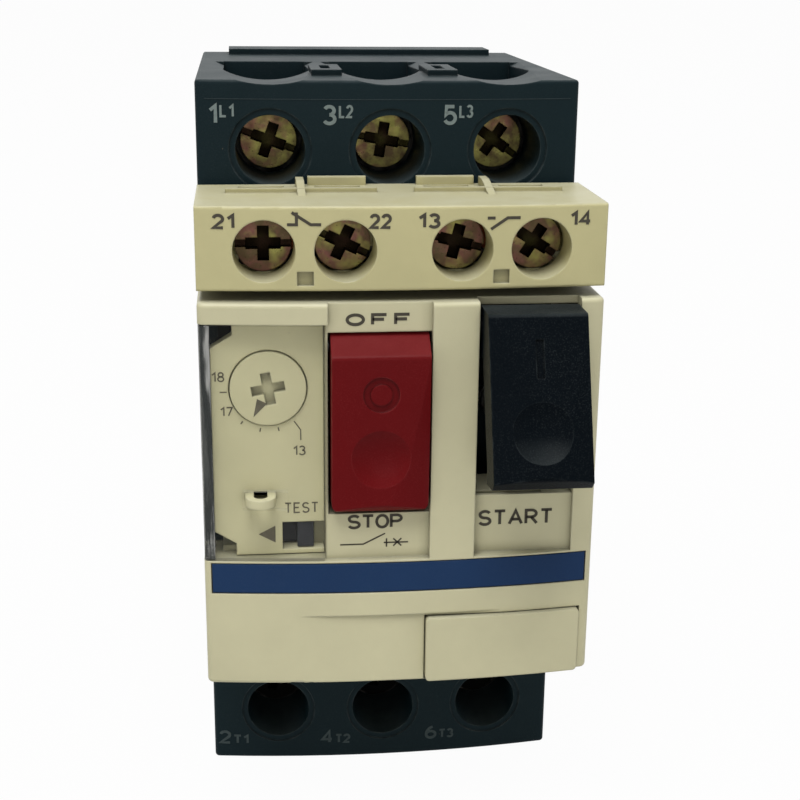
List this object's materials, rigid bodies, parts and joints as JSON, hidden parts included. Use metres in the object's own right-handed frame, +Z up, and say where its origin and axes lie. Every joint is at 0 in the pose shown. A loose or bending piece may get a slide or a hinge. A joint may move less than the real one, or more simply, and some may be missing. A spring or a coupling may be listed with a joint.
{
  "type": "motor protection switch",
  "caption": "Rail-mounted motor protection switch: dark housing with screw terminals, bowed cream front, red stop and black start rockers, setting dial under a clear cover, auxiliary block.",
  "frame": {"origin": "middle of the rail seat: on the flat that bears on the rail's flanges, at mid width and mid height", "axes": "+X to the right seen from the front, +Y into the panel, away from the operator, +Z up"},
  "size_m": [0.0446, 0.076, 0.0898],
  "materials": {
    "dark_plastic": "fine satin moulded plastic",
    "cream_plastic": "satin moulded plastic",
    "panel_plastic": "satin moulded plastic",
    "clear_plastic": "clear moulded plastic",
    "red_plastic": "semi-gloss moulded plastic",
    "black_plastic": "semi-gloss moulded plastic",
    "grey_plastic": "satin moulded plastic",
    "blue_label": "printed strip",
    "inner_plastic": "moulded plastic",
    "zinc_screw": "yellow-passivated zinc on steel",
    "steel": "bright steel",
    "spring_steel": "drawn wire",
    "copper": "bare copper",
    "silver": "contact metal",
    "fibre": "pressed fibre board",
    "winding": "enamelled copper wire"
  },
  "bodies": {
    "base": {"rear_base": "dark_plastic", "front_housing": "dark_plastic", "front_cover": "cream_plastic", "setting_panel": "panel_plastic", "hinge_liner": "dark_plastic", "label_insert": "blue_label", "marker_plate": "cream_plastic", "line_terminal_screws": "zinc_screw", "load_terminal_screws": "zinc_screw", "aux_housing": "cream_plastic", "aux_terminal_screws": "zinc_screw", "line_clamp_plates": "steel", "load_clamp_plates": "steel", "line_contact_strips": "copper", "coil_contact_strips": "copper", "load_terminal_strips": "copper", "fixed_contact_tips": "silver", "arc_plates_upper": "steel", "arc_plates_lower": "steel", "arc_chute_cheeks": "fibre", "magnet_coils": "winding", "coil_bobbins": "inner_plastic", "magnet_yokes": "steel", "heater_windings": "winding", "bimetal_strips": "steel", "mechanism_frame": "steel", "latch_pin": "steel", "latch_spring": "spring_steel", "start_pivot_pin": "steel", "stop_pivot_pin": "steel", "start_spring": "spring_steel", "stop_spring": "spring_steel", "rail_clip_spring": "spring_steel", "housing_rivets": "steel", "aux_rear_cover": "cream_plastic", "aux_clamp_plates": "steel", "aux_terminal_plates": "copper", "aux_spring": "spring_steel"},
    "start": {"start_button": "black_plastic"},
    "stop": {"stop_button": "red_plastic"},
    "carrier": {"contact_carrier": "inner_plastic", "moving_contact_bridges": "copper", "moving_contact_tips": "silver", "contact_springs": "spring_steel"},
    "aux_slide": {"aux_slider": "inner_plastic", "aux_contact_bridges": "copper"},
    "latch": {"latch_lever": "steel"},
    "dial": {"setting_dial": "panel_plastic"},
    "cover": {"clear_cover": "clear_plastic"},
    "test": {"test_slider": "grey_plastic"},
    "trip": {"trip_slide": "inner_plastic"},
    "clip": {"rail_clip": "dark_plastic"},
    "striker_left": {"striker_left": "steel"},
    "striker_middle": {"striker_middle": "steel"},
    "striker_right": {"striker_right": "steel"}
  },
  "joints": [
    {"name": "start_press", "type": "hinge", "parent": "base", "child": "start", "pos_m": [0.0139, -0.056, 0.019], "axis": [1, 0, 0], "range_deg": [0, 22.2], "stiffness_Nm_per_rad": 0.04, "springref_deg": -8.59, "deforming": ["start_spring"]},
    {"name": "carrier_slide", "type": "slide", "parent": "base", "child": "carrier", "axis": [0, 1, 0], "range_m": [0, 0.0024]},
    {"name": "aux_slide", "type": "slide", "parent": "base", "child": "aux_slide", "axis": [0, 1, 0], "range_m": [0, 0.00242], "deforming": ["aux_spring"]},
    {"name": "stop_press", "type": "hinge", "parent": "base", "child": "stop", "pos_m": [-0.0026, -0.055, 0.0169], "axis": [1, 0, 0], "range_deg": [0, 6], "stiffness_Nm_per_rad": 0.05, "springref_deg": -5.73, "deforming": ["stop_spring"]},
    {"name": "latch_swing", "type": "hinge", "parent": "base", "child": "latch", "pos_m": [0.00565, -0.046, 0.0045], "axis": [1, 0, 0], "range_deg": [0, 30.2], "deforming": ["latch_spring"]},
    {"name": "dial_turn", "type": "hinge", "parent": "base", "child": "dial", "pos_m": [-0.01477, -0.056, 0.0126], "axis": [0, 1, 0], "range_deg": [-100, 40]},
    {"name": "cover_hinge", "type": "hinge", "parent": "base", "child": "cover", "pos_m": [-0.0215, -0.0546, 0.0065], "axis": [0, 0, -1], "range_deg": [0, 120]},
    {"name": "test_slide", "type": "slide", "parent": "base", "child": "test", "axis": [-1, 0, 0], "range_m": [0, 0.0015], "stiffness_N_per_m": 60, "springref_m": -0.001},
    {"name": "trip_slide", "type": "slide", "parent": "base", "child": "trip", "axis": [-1, 0, 0], "range_m": [0, 0.0015]},
    {"name": "rail_clip_slide", "type": "slide", "parent": "base", "child": "clip", "axis": [0, 0, -1], "range_m": [0, 0.0025], "stiffness_N_per_m": 300, "springref_m": -0.001, "deforming": ["rail_clip_spring"]},
    {"name": "striker_left_slide", "type": "slide", "parent": "base", "child": "striker_left", "axis": [0, 0, -1], "range_m": [0, 0.002], "stiffness_N_per_m": 80, "springref_m": -0.001},
    {"name": "striker_middle_slide", "type": "slide", "parent": "base", "child": "striker_middle", "axis": [0, 0, -1], "range_m": [0, 0.002], "stiffness_N_per_m": 80, "springref_m": -0.001},
    {"name": "striker_right_slide", "type": "slide", "parent": "base", "child": "striker_right", "axis": [0, 0, -1], "range_m": [0, 0.002], "stiffness_N_per_m": 80, "springref_m": -0.001}
  ],
  "couplings": [
    {"joint": "start_press", "follows": "carrier_slide", "rad_per_m": 159.99},
    {"joint": "aux_slide", "follows": "carrier_slide", "ratio": 1},
    {"joint": "latch_swing", "follows": "stop_press", "ratio": 5},
    {"joint": "trip_slide", "follows": "test_slide", "ratio": 1}
  ]
}
